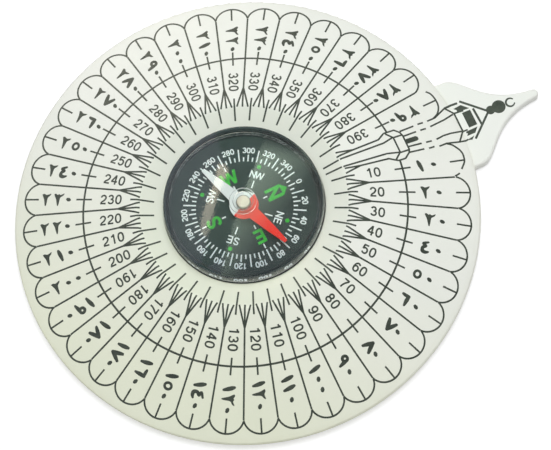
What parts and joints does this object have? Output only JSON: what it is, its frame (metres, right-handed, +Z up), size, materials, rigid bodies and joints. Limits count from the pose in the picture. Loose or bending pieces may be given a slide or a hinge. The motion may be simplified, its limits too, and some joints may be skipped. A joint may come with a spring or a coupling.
{
  "type": "qibla compass",
  "caption": "Shallow conical dial plate with an ogee pointer on its rim and a round needle compass capsule in its middle, for finding a prayer direction.",
  "frame": {"origin": "centre of the flat underside of the plate's cup, on the needle's axis, in the plane the compass rests on", "axes": "+X along the pointer, +Z up along the needle's pivot, +Y to the left of the pointer seen from above"},
  "size_m": [0.1184, 0.0998, 0.0121],
  "materials": {
    "ivory_plastic": "semi-gloss moulded ivory plastic with dark print",
    "black_plastic": "black moulded plastic",
    "dial_print": "matt black with white and green print",
    "clear_plastic": "clear polished plastic",
    "steel": "bright steel",
    "needle_paint": "steel, painted red on one arm and white on the other",
    "silver_metal": "bright turned metal",
    "cream_plastic": "cream plastic"
  },
  "bodies": {
    "housing": {"base_plate": "ivory_plastic", "capsule_case": "black_plastic", "dial_disc": "dial_print", "lens": "clear_plastic", "pivot_pin": "steel"},
    "needle": {"compass_needle": "needle_paint", "needle_hub": "silver_metal", "needle_cap": "cream_plastic"}
  },
  "joints": [
    {"name": "needle_spin", "type": "hinge", "parent": "housing", "child": "needle", "pos_m": [0, 0, 0.0069], "axis": [0, 0, 1], "continuous": true}
  ]
}
